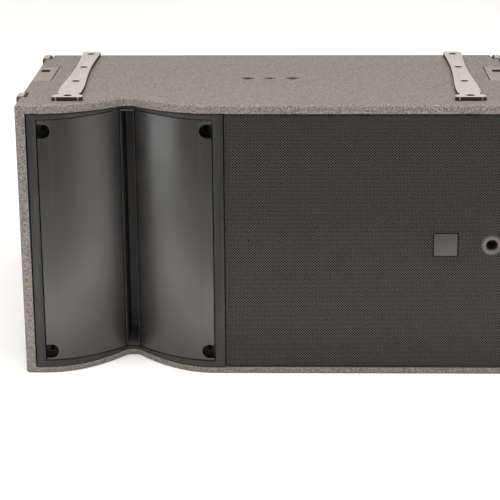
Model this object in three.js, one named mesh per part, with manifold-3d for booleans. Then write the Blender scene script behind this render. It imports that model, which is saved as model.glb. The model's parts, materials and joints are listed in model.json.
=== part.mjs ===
// A two-way line array loudspeaker: a wedge-shaped cabinet with a slotted horn between two swinging
// fins on the left, a 15 inch woofer behind a grille on the right, and rigging along both sides.
//
// Everything is drawn in millimetres in the frame of the front face: X to the right, Y back into the
// cabinet from the front plane, and Z up from the middle of the front. The top and the bottom panels
// both close in towards the rear, so the last lines tilt the whole object until the bottom is level.

import * as THREE from 'three';
import * as BufferGeometryUtils from 'three/addons/utils/BufferGeometryUtils.js';
import Module from 'manifold-3d';

const wasm = await Module();
wasm.setup();

// Cabinet
const WIDTH = 750;
const FRONT_HEIGHT = 430;
const DEPTH = 427;
const TAPER = THREE.MathUtils.degToRad(5);
const WALL = 13;
const SIDE_WALL = 15;
const BOTTOM_WALL = 9.5;
const GAP = 0.3;

// Horn
const HORN_X = -213.2;
const BEZEL_LEFT = -358.5;
const BEZEL_RIGHT = -67.2;
const BEZEL_GAP = 0.8;
const CURVE_HALF = 130.5;
const CURVE_RATE = 0.004;
const CURVE_FLAT = 8;
const POCKET_HALF = 131;
const POCKET_TOP = 192.9;
const POCKET_BOTTOM = -194.1;
const POCKET_DEPTH = 18;
const FRAME_DEPTH = 22;
const SLOT_HALF = 13.2;
const SLOT_FRONT = 56.5;
const SLOT_MESH_Y = 110;
const SLOT_MESH_HALF = 6.5;
const SLOT_END = 1.5;
const FIN_GAP = 1.4;
const FIN_TIP = 129.2;
const FIN_INNER = 12;
const FIN_RECESS = 0.6;
const FIN_THICK = 3;
const HINGE_OFFSET = 19;
const HINGE_Y = 56.2;
const HINGE_BORE = 2.6;
const KNUCKLE_R = 4.2;
const NOTCH_OFFSET = 121.5;
const NOTCH_LEVELS = [-178.9, 174.3];
const NOTCH_R = 11;

// Woofer and its baffle
const WOOFER_X = 147.5;
const FLANGE_R = 194;
const FLANGE_Y = 20;
const BAFFLE_Y = 28;
const BAFFLE_THICK = 18;
const DIVIDER_X = -70;
const PORT_X = -25;
const PORT_Z = 152;
const PORT_R = 32;

// Grille
const GRILLE_LEFT = -65.2;
const GRILLE_RIGHT = 359.2;
const GRILLE_Y = 2;
const GRILLE_THICK = 1.5;
const BADGE = { x: 266.1, z: -3.6, size: 35, y: 0.5, thick: 1.2 };
const COLLAR = { x: 335.7, z: -5, r: 14, bore: 7.6 };

// Rigging: across is measured in from the outside of the side panel
const SKIN = 5;
const HOUSING = { across: 31.5, front: 196, back: 318 };
const LINK_SLOT = { from: 7, to: 21, front: 270, back: 290.5 };
const CUP = { depth: 45, front: 202.3, back: 311.7, half: 51 };
const RAILS = [
  { place: 'front', front: 64, back: 96 },
  { place: 'rear', front: 391, back: DEPTH },
];
const RAIL_PROUD = 5.5;
const RAIL_SUNK = 9;
const RAIL_CLEAR = 2;
const PIN = { y: 235, z: 130, shaft: 4, bore: 4.4, knob: 11 };
const BUTTON_R = 2.5;
const STRAP_X = 300;
const STRAP_THICK = 6;
const INSERTS = [{ x: -35, r: 10.25 }, { x: 0, r: 8.5 }, { x: 35, r: 10.25 }];
const INSERT_Y = 215;

// Rear connectors
const PLATE = { x: 0, z: -20, width: 150, height: 90, y: 419.8, thick: 3 };
const CONNECTOR_OFFSET = 35;

const slope = Math.tan(TAPER);
const wallDrop = WALL / Math.cos(TAPER);
const floorRise = BOTTOM_WALL / Math.cos(TAPER);
const outer = (y) => FRONT_HEIGHT / 2 - y * slope;
const ceiling = (y) => outer(y) - wallDrop - GAP;
const floor = (y) => floorRise + GAP - outer(y);
const curve = (offset) => CURVE_RATE * (CURVE_HALF - Math.abs(offset)) ** 2;

// ---- Solids ----

function toSolid(geometry) {
  const bare = geometry.clone();
  bare.deleteAttribute('normal');
  bare.deleteAttribute('uv');
  const merged = BufferGeometryUtils.mergeVertices(bare, 1e-4);
  const vertProperties = new Float32Array(merged.attributes.position.array);
  const triVerts = new Uint32Array(merged.index.array);
  return new wasm.Manifold(new wasm.Mesh({ numProp: 3, vertProperties, triVerts }));
}

function toGeometry(solid) {
  const mesh = solid.getMesh();
  const geometry = new THREE.BufferGeometry();
  geometry.setAttribute('position', new THREE.BufferAttribute(new Float32Array(mesh.vertProperties), 3));
  geometry.setIndex(new THREE.BufferAttribute(new Uint32Array(mesh.triVerts), 1));
  return geometry;
}

const cut = (body, ...tools) =>
  toGeometry(tools.reduce((solid, tool) => solid.subtract(toSolid(tool)), toSolid(body)));
const join = (...bodies) =>
  toGeometry(bodies.slice(1).reduce((solid, body) => solid.add(toSolid(body)), toSolid(bodies[0])));

const overlap = (a, b) => toGeometry(toSolid(a).intersect(toSolid(b)));

function box(x0, x1, y0, y1, z0, z1) {
  const geometry = new THREE.BoxGeometry(x1 - x0, y1 - y0, z1 - z0);
  return geometry.translate((x0 + x1) / 2, (y0 + y1) / 2, (z0 + z1) / 2);
}

function rectangle(x0, x1, y0, y1) {
  const shape = new THREE.Shape();
  shape.moveTo(x0, y0);
  shape.lineTo(x1, y0);
  shape.lineTo(x1, y1);
  shape.lineTo(x0, y1);
  return shape;
}

// A plan outline drawn up between two levels, each a function of how far back a point is
function slab(shape, low, high, curveSegments = 12) {
  const geometry = new THREE.ExtrudeGeometry(shape, { depth: 1, bevelEnabled: false, curveSegments });
  const position = geometry.attributes.position;
  for (let i = 0; i < position.count; i += 1) {
    const level = position.getZ(i) > 0.5 ? high : low;
    position.setZ(i, level(position.getY(i)));
  }
  return geometry;
}

const level = (z) => () => z;

// A (Y, Z) outline drawn out across X
function across(shape, x0, x1) {
  const geometry = new THREE.ExtrudeGeometry(shape, { depth: x1 - x0, bevelEnabled: false });
  const turn = new THREE.Matrix4().makeBasis(
    new THREE.Vector3(0, 1, 0),
    new THREE.Vector3(0, 0, 1),
    new THREE.Vector3(1, 0, 0),
  );
  return geometry.applyMatrix4(turn).translate(x0, 0, 0);
}

// A closed (radius, y) profile turned about an axis along Y
function turned(profile, x, z, segments = 24) {
  const points = profile.map(([radius, y]) => new THREE.Vector2(radius, y));
  const area = points.reduce((sum, point, i) => {
    const next = points[(i + 1) % points.length];
    return sum + point.x * next.y - next.x * point.y;
  }, 0);
  if (area < 0) points.reverse();
  if (profile.every(([radius]) => radius > 0)) points.push(points[0].clone());
  return new THREE.LatheGeometry(points, segments).translate(x, 0, z);
}

const rod = (radius, x, z, y0, y1, segments = 16) =>
  turned([[0, y0], [radius, y0], [radius, y1], [0, y1]], x, z, segments);
const tube = (bore, radius, x, z, y0, y1, segments = 24) =>
  turned([[bore, y0], [radius, y0], [radius, y1], [bore, y1]], x, z, segments);

// A round bar along X
function crossBar(radius, x0, x1, y, z, segments = 14) {
  const geometry = new THREE.CylinderGeometry(radius, radius, x1 - x0, segments);
  return geometry.rotateZ(Math.PI / 2).translate((x0 + x1) / 2, y, z);
}

// A round bar along Z
function upright(radius, x, y, z0, z1, segments = 14) {
  const geometry = new THREE.CylinderGeometry(radius, radius, z1 - z0, segments);
  return geometry.rotateX(Math.PI / 2).translate(x, y, (z0 + z1) / 2);
}

// The same piece on the other side of the cabinet
function mirrored(geometry) {
  const copy = geometry.index ? geometry.clone() : BufferGeometryUtils.mergeVertices(geometry);
  copy.scale(-1, 1, 1);
  const { array } = copy.index;
  for (let i = 0; i < array.length; i += 3) {
    [array[i], array[i + 1]] = [array[i + 1], array[i]];
  }
  return copy;
}

// The horn's front curve, drawn from one offset to another and moved back by a set depth
function followCurve(path, from, to, back) {
  const middle = (from + to) / 2;
  const rise = -2 * CURVE_RATE * (CURVE_HALF - Math.abs(from)) * Math.sign(from);
  const control = curve(from) + (rise * (to - from)) / 2;
  path.quadraticCurveTo(HORN_X + middle, control + back, HORN_X + to, curve(to) + back);
}

// ---- Finishes ----

const finishes = {
  cabinet: { color: 0x8a837c, roughness: 0.85, metalness: 0 },
  moulding: { color: 0x2c2b2a, roughness: 0.5, metalness: 0 },
  steel: { color: 0xc9c3ba, roughness: 0.45, metalness: 0.7 },
  darkSteel: { color: 0x3a3836, roughness: 0.6, metalness: 0.4 },
  cloth: { color: 0x181818, roughness: 0.95, metalness: 0 },
  paper: { color: 0x1e1e1e, roughness: 0.9, metalness: 0 },
  rubber: { color: 0x202020, roughness: 0.8, metalness: 0 },
  aluminium: { color: 0xb9b4ab, roughness: 0.5, metalness: 0.8 },
  board: { color: 0x2b5a3a, roughness: 0.6, metalness: 0 },
  foam: { color: 0x4a4a4c, roughness: 1, metalness: 0 },
};

const speaker = new THREE.Group();

function add(name, geometry, finish) {
  const mesh = new THREE.Mesh(geometry, new THREE.MeshStandardMaterial(finishes[finish]));
  mesh.name = name;
  speaker.add(mesh);
}

// Draws a piece for the left side and its mirror image for the right
function addPair(name, geometry, finish) {
  add(`left_${name}`, geometry, finish);
  add(`right_${name}`, mirrored(geometry), finish);
}

// ---- Cabinet panels ----

const side = -WIDTH / 2;
const railSlots = RAILS.map(({ front, back }) => [front - RAIL_CLEAR, back + RAIL_CLEAR]);

function panelOutline() {
  const shape = new THREE.Shape();
  shape.moveTo(side, 0);
  shape.lineTo(HORN_X - CURVE_HALF, 0);
  followCurve(shape, -CURVE_HALF, -CURVE_FLAT, 0);
  shape.lineTo(HORN_X + CURVE_FLAT, curve(CURVE_FLAT));
  shape.quadraticCurveTo(HORN_X + (CURVE_FLAT + CURVE_HALF) / 2, 0, HORN_X + CURVE_HALF, 0);
  shape.lineTo(-side, 0);
  shape.lineTo(-side, DEPTH);
  shape.lineTo(side, DEPTH);
  return shape;
}

function sideCuts() {
  const cuts = railSlots.map(([front, back]) =>
    box(side - 1, side + RAIL_SUNK + RAIL_CLEAR, front, back, -300, 300));
  const housing = box(side - 1, side + HOUSING.across + GAP, HOUSING.front, HOUSING.back, -300, 300);
  return [...cuts, housing];
}

function flatPanel(low, high) {
  const cuts = sideCuts();
  return cut(slab(panelOutline(), low, high, 10), ...cuts, ...cuts.map(mirrored));
}

const insertHoles = INSERTS.map(({ x, r }) => upright(r + 0.4, x, INSERT_Y, 0, 300, 20));
const topPanel = flatPanel((y) => outer(y) - wallDrop, outer);
add('top_panel', cut(topPanel, ...insertHoles), 'cabinet');
add('bottom_panel', flatPanel((y) => -outer(y), (y) => floorRise - outer(y)), 'cabinet');

function sidePanel() {
  const blank = slab(rectangle(side, side + SIDE_WALL, 0, DEPTH), floor, ceiling);
  const grooves = railSlots.map(([front, back]) =>
    box(side - 1, side + RAIL_SUNK + RAIL_CLEAR, front, back, -300, 300));
  const through = side + SIDE_WALL + 1;
  const window = box(side - 1, through, HOUSING.front, HOUSING.back, -58, 58);
  const column = box(side + SKIN, through, HOUSING.front, HOUSING.back, -300, 300);
  const linkMiddle = (LINK_SLOT.front + LINK_SLOT.back) / 2;
  const pinHoles = [
    crossBar(PIN.bore, side - 1, through, PIN.y, PIN.z),
    crossBar(PIN.bore, side - 1, through, linkMiddle, PIN.z + 25),
  ];
  return cut(blank, ...grooves, window, column, ...pinHoles);
}

addPair('side_panel', sidePanel(), 'cabinet');

const innerSide = -side - SIDE_WALL - GAP;
const plateWindow = box(PLATE.x - 65, PLATE.x + 65, 400, 430, PLATE.z - 35, PLATE.z + 35);
const plateRecess = box(
  PLATE.x - PLATE.width / 2 - GAP,
  PLATE.x + PLATE.width / 2 + GAP,
  PLATE.y - GAP,
  DEPTH + 1,
  PLATE.z - PLATE.height / 2 - GAP,
  PLATE.z + PLATE.height / 2 + GAP,
);
const rearBlank = slab(rectangle(-innerSide, innerSide, DEPTH - WALL, DEPTH), floor, ceiling);
add('rear_panel', cut(rearBlank, plateWindow, plateRecess), 'cabinet');

const baffleBack = BAFFLE_Y + BAFFLE_THICK;
const screwOffsets = [-NOTCH_OFFSET, NOTCH_OFFSET];
const frameScrewHoles = screwOffsets.flatMap((offset) =>
  NOTCH_LEVELS.map((z) => rod(2.7, HORN_X + offset, z, 0, 60, 16)));
const baffleEdge = 93.5;
const wooferBlank = slab(
  rectangle(HORN_X + baffleEdge, innerSide, BAFFLE_Y, baffleBack),
  floor,
  ceiling,
);
const wooferHole = rod(178, WOOFER_X, 0, 0, 60, 32);
const portHoles = [-PORT_Z, PORT_Z].map((z) => rod(PORT_R + 1, PORT_X, z, 0, 60, 20));
const collarHole = rod(3.4, COLLAR.x, COLLAR.z, 0, 60, 16);
add('woofer_baffle', cut(wooferBlank, wooferHole, ...portHoles, collarHole, ...frameScrewHoles), 'cabinet');
const hornStrip = slab(
  rectangle(-innerSide, HORN_X - baffleEdge, BAFFLE_Y, baffleBack),
  floor,
  ceiling,
);
add('horn_baffle_strip', cut(hornStrip, ...frameScrewHoles), 'cabinet');

const dividerBlank = slab(
  rectangle(DIVIDER_X - 6, DIVIDER_X + 6, baffleBack + GAP, DEPTH - WALL - GAP),
  floor,
  ceiling,
);
add('chamber_divider', cut(dividerBlank, crossBar(12, DIVIDER_X - 7, DIVIDER_X + 7, 380, -120)), 'cabinet');

// ---- Horn ----

function frameOutline() {
  const shape = new THREE.Shape();
  const wingBack = BAFFLE_Y - GAP;
  const wingEnd = CURVE_HALF - Math.sqrt((wingBack - FRAME_DEPTH) / CURVE_RATE);
  shape.moveTo(BEZEL_LEFT, 0);
  shape.lineTo(HORN_X - CURVE_HALF, 0);
  followCurve(shape, -CURVE_HALF, -CURVE_FLAT, 0);
  shape.lineTo(HORN_X + CURVE_FLAT, curve(CURVE_FLAT));
  shape.quadraticCurveTo(HORN_X + (CURVE_FLAT + CURVE_HALF) / 2, 0, HORN_X + CURVE_HALF, 0);
  shape.lineTo(BEZEL_RIGHT, 0);
  shape.lineTo(BEZEL_RIGHT, wingBack);
  shape.lineTo(HORN_X + wingEnd, wingBack);
  followCurve(shape, wingEnd, SLOT_HALF, FRAME_DEPTH);
  shape.lineTo(HORN_X - SLOT_HALF, curve(SLOT_HALF) + FRAME_DEPTH);
  followCurve(shape, -SLOT_HALF, -wingEnd, FRAME_DEPTH);
  shape.lineTo(BEZEL_LEFT, wingBack);
  return shape;
}

function pocketOutline() {
  const shape = new THREE.Shape();
  shape.moveTo(HORN_X - POCKET_HALF, -5);
  shape.lineTo(HORN_X + POCKET_HALF, -5);
  shape.lineTo(HORN_X + POCKET_HALF, POCKET_DEPTH);
  shape.lineTo(HORN_X + CURVE_HALF, POCKET_DEPTH);
  followCurve(shape, CURVE_HALF, SLOT_HALF, POCKET_DEPTH);
  shape.lineTo(HORN_X + SLOT_HALF, 90);
  shape.lineTo(HORN_X - SLOT_HALF, 90);
  shape.lineTo(HORN_X - SLOT_HALF, curve(SLOT_HALF) + POCKET_DEPTH);
  followCurve(shape, -SLOT_HALF, -CURVE_HALF, POCKET_DEPTH);
  shape.lineTo(HORN_X - POCKET_HALF, POCKET_DEPTH);
  return shape;
}

const hingeSides = [-HINGE_OFFSET, HINGE_OFFSET];
const frameBlank = slab(
  frameOutline(),
  (y) => floor(y) - GAP + BEZEL_GAP,
  (y) => ceiling(y) + GAP - BEZEL_GAP,
  10,
);
const pocket = slab(pocketOutline(), level(POCKET_BOTTOM), level(POCKET_TOP), 8);
const rodHoles = hingeSides.map((offset) => upright(HINGE_BORE, HORN_X + offset, HINGE_Y, -300, 300, 16));
add('horn_frame', cut(frameBlank, pocket, ...rodHoles, ...frameScrewHoles), 'moulding');

function fin(sign) {
  const shape = new THREE.Shape();
  const back = FIN_RECESS + FIN_THICK;
  const finTop = POCKET_TOP - FIN_GAP;
  const finBottom = POCKET_BOTTOM + FIN_GAP;
  shape.moveTo(HORN_X + sign * FIN_TIP, curve(FIN_TIP) + FIN_RECESS);
  followCurve(shape, sign * FIN_TIP, sign * FIN_INNER, FIN_RECESS);
  shape.lineTo(HORN_X + sign * FIN_INNER, curve(FIN_INNER) + back);
  followCurve(shape, sign * FIN_INNER, sign * FIN_TIP, back);
  const plate = slab(shape, level(finBottom), level(finTop), 10);
  const hingeX = HORN_X + sign * HINGE_OFFSET;
  const knuckle = upright(KNUCKLE_R, hingeX, HINGE_Y, finBottom, finTop, 16);
  const bore = upright(HINGE_BORE, hingeX, HINGE_Y, -300, 300, 16);
  const notchX = HORN_X + sign * NOTCH_OFFSET;
  const edgeX = HORN_X + sign * (CURVE_HALF + 2);
  const notches = NOTCH_LEVELS.flatMap((z) => [
    rod(NOTCH_R, notchX, z, -5, 15, 20),
    box(Math.min(notchX, edgeX), Math.max(notchX, edgeX), -5, 15, z - NOTCH_R, z + NOTCH_R),
  ]);
  return cut(join(plate, knuckle), bore, ...notches);
}

const hingeRodHalf = 196;
for (const [name, sign] of [['left', -1], ['right', 1]]) {
  const hingeX = HORN_X + sign * HINGE_OFFSET;
  add(`${name}_fin`, fin(sign), 'moulding');
  add(
    `${name}_fin_hinge_rod`,
    upright(HINGE_BORE - 0.15, hingeX, HINGE_Y, -hingeRodHalf, hingeRodHalf, 16),
    'steel',
  );
}

const cornerNames = ['left_lower', 'left_upper', 'right_lower', 'right_upper'];
screwOffsets.forEach((offset, column) => {
  NOTCH_LEVELS.forEach((z, row) => {
    const x = HORN_X + offset;
    const profile = [[0, 15], [4, 15], [4, 18], [2.3, 18], [2.3, 44], [0, 44]];
    add(`horn_screw_${cornerNames[column * 2 + row]}`, turned(profile, x, z, 12), 'darkSteel');
  });
});

// The waveguide turns the driver's round mouth into the tall slot between the fins
const guideHalf = POCKET_TOP - SLOT_END;
const slotHalf = guideHalf - SLOT_END;
const neckDrop = 4;
function waveguide() {
  const lip = 10.6;
  const mouthHalf = 10.1;
  const throatHalf = SLOT_MESH_HALF + GAP;
  const shoulderY = 96;
  const neckY = 114;
  const backY = 232;
  const profile = (front, frontHalf, backHalf) => {
    const shape = new THREE.Shape();
    shape.moveTo(front, -frontHalf);
    shape.lineTo(shoulderY, -frontHalf);
    shape.lineTo(neckY, neckDrop - frontHalf);
    shape.lineTo(backY, -backHalf);
    shape.lineTo(backY, backHalf);
    shape.lineTo(neckY, frontHalf - neckDrop);
    shape.lineTo(shoulderY, frontHalf);
    shape.lineTo(front, frontHalf);
    return shape;
  };
  const thinPart = across(profile(SLOT_FRONT, guideHalf, 45), HORN_X - lip, HORN_X + lip);
  const thickPart = across(profile(77.5, guideHalf, 45), HORN_X - 22, HORN_X + 22);
  const throat = across(profile(SLOT_FRONT, slotHalf, 38), HORN_X - throatHalf, HORN_X + throatHalf);
  const mouth = new THREE.Shape();
  mouth.moveTo(HORN_X - mouthHalf, SLOT_FRONT - 1);
  mouth.lineTo(HORN_X + mouthHalf, SLOT_FRONT - 1);
  mouth.lineTo(HORN_X + throatHalf, SLOT_MESH_Y);
  mouth.lineTo(HORN_X - throatHalf, SLOT_MESH_Y);
  const wideThroat = across(profile(SLOT_FRONT - 2, slotHalf, 38), HORN_X - lip, HORN_X + lip);
  const flare = overlap(slab(mouth, level(-slotHalf), level(slotHalf)), wideThroat);
  const opening = box(HORN_X - throatHalf, HORN_X + throatHalf, backY - 20, backY + 1, -38, 38);
  return cut(join(thinPart, thickPart), throat, flare, opening);
}

add('waveguide', waveguide(), 'moulding');
const meshTop = slotHalf - neckDrop;
const meshLeft = HORN_X - SLOT_MESH_HALF;
const meshRight = HORN_X + SLOT_MESH_HALF;
add(
  'slot_mesh',
  box(meshLeft, meshRight, SLOT_MESH_Y, SLOT_MESH_Y + 1, -meshTop, meshTop),
  'darkSteel',
);

const driverBody = [
  [18, 232.3], [70, 232.3], [70, 240], [88, 240], [88, 280], [42, 280], [42, 270], [18, 262],
];
const driverCover = [
  [0, 304], [54, 304], [60, 298], [60, 280.3], [64, 280.3], [64, 300], [56, 308], [0, 308],
];
const domeProfile = (rim, front, rise, thick) => {
  const steps = [0, 0.4, 0.75, 1];
  const bulge = (share) => front + rise * share ** 2;
  const near = steps.map((share) => [rim * share, bulge(share)]);
  const far = steps.map((share) => [rim * share, bulge(share) + thick]).reverse();
  return [...near, ...far];
};
const diaphragm = domeProfile(38, 271.5, 8.8, 1);
diaphragm.splice(4, 0, [46, 280.3], [46, 281.3]);
add('hf_driver_body', turned(driverBody, HORN_X, 0), 'darkSteel');
add('hf_diaphragm', turned(diaphragm, HORN_X, 0), 'aluminium');
add('hf_driver_cover', turned(driverCover, HORN_X, 0), 'moulding');

// ---- Woofer ----

const flangeBack = BAFFLE_Y - GAP;
const basketProfile = [
  [FLANGE_R, FLANGE_Y], [FLANGE_R, flangeBack], [176, flangeBack], [152, 82], [116, 106],
  [98, 121], [98, 126.7], [45, 126.7], [45, 122], [92, 119], [104, 108], [104, 104.6], [112, 104.6],
  [147, 80], [170, 27], [170, 24.5], [184, 24.5], [184, FLANGE_Y],
];
const basketWindows = [0, 1, 2].map((turn) =>
  box(-190, 190, 40, 96, -38, 38).rotateY((turn * Math.PI) / 3).translate(WOOFER_X, 0, 0));
const flangeHole = rod(3.4, COLLAR.x, COLLAR.z, 0, 60, 16);
add('woofer_basket', cut(turned(basketProfile, WOOFER_X, 0), ...basketWindows, flangeHole), 'darkSteel');

const coneProfile = [[161, 22.8], [161, 25], [100, 62], [39.2, 92.2], [39.2, 90], [100, 59.8]];
add('woofer_cone', turned(coneProfile, WOOFER_X, 0), 'paper');
add('woofer_dust_cap', turned(domeProfile(44, 71.5, 14, 1.4), WOOFER_X, 0), 'paper');

const roll = [0, 1, 2, 3, 4].map((step) => (step * Math.PI) / 4);
const rollArc = (radius) =>
  roll.map((angle) => [167 - radius * Math.cos(angle), 23 - radius * Math.sin(angle)]);
const surroundProfile = [
  [161.5, 24.2], ...rollArc(5.5), [183.5, 23], [183.5, 24.2], ...rollArc(4.3).reverse(),
];
add('woofer_surround', turned(surroundProfile, WOOFER_X, 0), 'rubber');

const ripples = [40, 56, 72, 88, 103.5];
const spiderFront = ripples.map((radius, i) => [radius, 103 - (i % 2) * 4]);
const spiderBack = ripples.map((radius, i) => [radius, 104.2 - (i % 2) * 4]).reverse();
const spiderProfile = [...spiderFront, [111.5, 103], [111.5, 104.2], ...spiderBack];
add('woofer_spider', turned(spiderProfile, WOOFER_X, 0), 'cloth');
add('woofer_voice_coil', tube(37.7, 38.7, WOOFER_X, 0, 88.5, 146), 'aluminium');
add('woofer_top_plate', tube(40.5, 85, WOOFER_X, 0, 127, 137), 'steel');
add('woofer_magnet', tube(55, 90, WOOFER_X, 0, 137.3, 165), 'darkSteel');
const polePiece = [[12, 127], [36.5, 127], [36.5, 165.3], [88, 165.3], [88, 177], [12, 177]];
add('woofer_pole_piece', turned(polePiece, WOOFER_X, 0), 'steel');

for (const [name, z] of [['upper', PORT_Z], ['lower', -PORT_Z]]) {
  const profile = [
    [29, 24.5], [35, 24.5], [35, flangeBack], [PORT_R, flangeBack], [PORT_R, 150], [29, 150],
  ];
  add(`port_tube_${name}`, turned(profile, PORT_X, z, 20), 'moulding');
}

// ---- Grille ----

const insideGrille = GRILLE_Y + GRILLE_THICK;
const grilleBlank = slab(rectangle(GRILLE_LEFT, GRILLE_RIGHT, GRILLE_Y, 14), floor, ceiling);
const grilleHollow = slab(
  rectangle(GRILLE_LEFT + GRILLE_THICK, GRILLE_RIGHT - GRILLE_THICK, insideGrille, 15),
  (y) => floor(y) + GRILLE_THICK,
  (y) => ceiling(y) - GRILLE_THICK,
);
const grilleHole = rod(COLLAR.r + 0.5, COLLAR.x, COLLAR.z, 0, 20, 20);
add('grille', cut(grilleBlank, grilleHollow, grilleHole), 'darkSteel');

const clothEdge = GRILLE_THICK + 1;
const clothBlank = box(
  GRILLE_LEFT + clothEdge,
  GRILLE_RIGHT - clothEdge,
  insideGrille + 0.5,
  insideGrille + 2,
  -201,
  197.5,
);
add('grille_cloth', cut(clothBlank, rod(COLLAR.r + 1, COLLAR.x, COLLAR.z, 0, 20, 20)), 'cloth');

const badgeHalf = BADGE.size / 2;
add('badge_plate', box(
  BADGE.x - badgeHalf,
  BADGE.x + badgeHalf,
  BADGE.y,
  BADGE.y + BADGE.thick,
  BADGE.z - badgeHalf,
  BADGE.z + badgeHalf,
), 'moulding');

const collarProfile = [
  [3.4, 15.7], [COLLAR.bore, 15.7], [COLLAR.bore, 1.4], [COLLAR.bore + 0.8, 0.6],
  [COLLAR.r - 0.8, 0.6], [COLLAR.r, 1.4], [COLLAR.r, FLANGE_Y - GAP], [3.4, FLANGE_Y - GAP],
];
add('grille_collar', turned(collarProfile, COLLAR.x, COLLAR.z, 20), 'moulding');
const grilleScrew = [[0, 11], [6, 11], [6, 15.4], [3, 15.4], [3, 44], [0, 44]];
add('grille_screw', turned(grilleScrew, COLLAR.x, COLLAR.z, 12), 'steel');

// ---- Rigging ----

function rail({ front, back }) {
  const corner = 5;
  const out = side - RAIL_PROUD;
  const shape = new THREE.Shape();
  shape.moveTo(side + RAIL_SUNK, front);
  shape.lineTo(side + RAIL_SUNK, back);
  shape.lineTo(out + corner, back);
  shape.quadraticCurveTo(out, back, out, back - corner);
  shape.lineTo(out, front + corner);
  shape.quadraticCurveTo(out, front, out + corner, front);
  return slab(shape, (y) => GAP - outer(y), (y) => outer(y) + 1, 4);
}

for (const place of RAILS) {
  addPair(`${place.place}_rail`, rail(place), 'steel');
}

function rigHousing() {
  const x = (distance) => side + distance;
  const { across: reach, front, back } = HOUSING;
  const [near, far] = [front + GAP, back - GAP];
  const column = slab(rectangle(x(SKIN + GAP), x(reach), near, far), (y) => -outer(y), outer);
  const cap = slab(rectangle(x(0), x(reach), near, far), (y) => outer(y) - wallDrop, outer);
  const foot = slab(rectangle(x(0), x(reach), near, far), (y) => -outer(y), (y) => floorRise - outer(y));
  const flange = box(x(0), x(SKIN + 2), near, far, -57.4, 57.4);
  const tub = box(x(0), x(CUP.depth + 3), CUP.front - 3, CUP.back + 3, -CUP.half - 3, CUP.half + 3);
  const hollows = [
    box(x(8.5), x(reach + 1), 200, 314, 58, 172),
    box(x(8.5), x(reach + 1), 200, 314, -172, -58),
  ];
  const guides = [
    box(x(SKIN + GAP), x(24), 266, 294.5, 54, 176),
    box(x(SKIN + GAP), x(24), 266, 294.5, -176, -54),
    crossBar(9, x(6), x(29), PIN.y, PIN.z),
  ];
  const cup = box(x(-1), x(CUP.depth), CUP.front, CUP.back, -CUP.half, CUP.half);
  const { from, to, front: slotFront, back: slotBack } = LINK_SLOT;
  const slots = [
    box(x(from), x(to), slotFront, slotBack, 90, 300),
    box(x(from), x(to), slotFront, slotBack, -300, -120),
  ];
  const pinBores = [
    crossBar(PIN.bore, x(0), x(33), PIN.y, PIN.z),
    crossBar(PIN.bore, x(0), x(33), (slotFront + slotBack) / 2, PIN.z + 25),
  ];
  const frame = cut(join(column, cap, foot, flange), ...hollows);
  return cut(join(frame, tub, ...guides), cup, ...slots, ...pinBores);
}

addPair('rig_housing', rigHousing(), 'aluminium');

function handleGrip() {
  const radius = 9;
  const profile = [
    [0, CUP.front + GAP], [radius - 2, CUP.front + GAP], [radius, CUP.front + 14],
    [radius, CUP.back - 14], [radius - 2, CUP.back - GAP], [0, CUP.back - GAP],
  ];
  return turned(profile, side + 13, 36, 16);
}

addPair('handle_grip', handleGrip(), 'rubber');

function linkBar() {
  const play = 0.5;
  const { from, to, front, back } = LINK_SLOT;
  const blank = box(side + from + play, side + to - play, front + play, back - play, 96, 186);
  const middle = (front + back) / 2;
  const holes = [110, 172].map((z) => crossBar(PIN.bore, side, side + 30, middle, z));
  return cut(blank, ...holes);
}

addPair('link_bar', linkBar(), 'steel');

function lockPin() {
  const knob = crossBar(PIN.knob, side - 5.5, side - GAP, PIN.y, PIN.z, 20);
  const shaft = crossBar(PIN.shaft, side - 1, side + 26, PIN.y, PIN.z);
  const bore = crossBar(BUTTON_R + 0.2, side - 6, side + 4, PIN.y, PIN.z);
  return cut(join(knob, shaft), bore);
}

addPair('lock_pin', lockPin(), 'steel');
addPair('pin_button', crossBar(BUTTON_R, side - 5.3, side + 0.5, PIN.y, PIN.z, 16), 'darkSteel');

// A flat suspension strap, waisted in the middle, with ears at the front
function strap() {
  const ear = 23.2;
  const half = [[16, 70], [18, 104], [16, 159], [12, 280], [14.3, 404]];
  const point = ([reach, y], sign) => new THREE.Vector2(sign * reach - STRAP_X, y);
  const shape = new THREE.Shape();
  shape.moveTo(-STRAP_X - ear + 4, 31);
  shape.lineTo(-STRAP_X + ear - 4, 31);
  shape.quadraticCurveTo(-STRAP_X + ear, 31, -STRAP_X + ear, 35);
  shape.lineTo(-STRAP_X + ear, 42);
  shape.quadraticCurveTo(-STRAP_X + ear, 54, -STRAP_X + 16, 58);
  shape.splineThru(half.map((pair) => point(pair, 1)));
  shape.quadraticCurveTo(-STRAP_X + 14.3, 424, -STRAP_X + 7, 424);
  shape.lineTo(-STRAP_X - 7, 424);
  shape.quadraticCurveTo(-STRAP_X - 14.3, 424, -STRAP_X - 14.3, 404);
  shape.splineThru([...half].reverse().slice(1).map((pair) => point(pair, -1)));
  shape.lineTo(-STRAP_X - 16, 58);
  shape.quadraticCurveTo(-STRAP_X - ear, 54, -STRAP_X - ear, 42);
  shape.lineTo(-STRAP_X - ear, 35);
  shape.quadraticCurveTo(-STRAP_X - ear, 31, -STRAP_X - ear + 4, 31);
  const plate = slab(shape, (y) => outer(y) + GAP, (y) => outer(y) + GAP + STRAP_THICK, 2);
  const holes = [45, 160, 281, 402].map((y) => upright(6, -STRAP_X, y, 150, 260, 16));
  return cut(plate, ...holes);
}

addPair('top_strap', strap(), 'steel');

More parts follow.
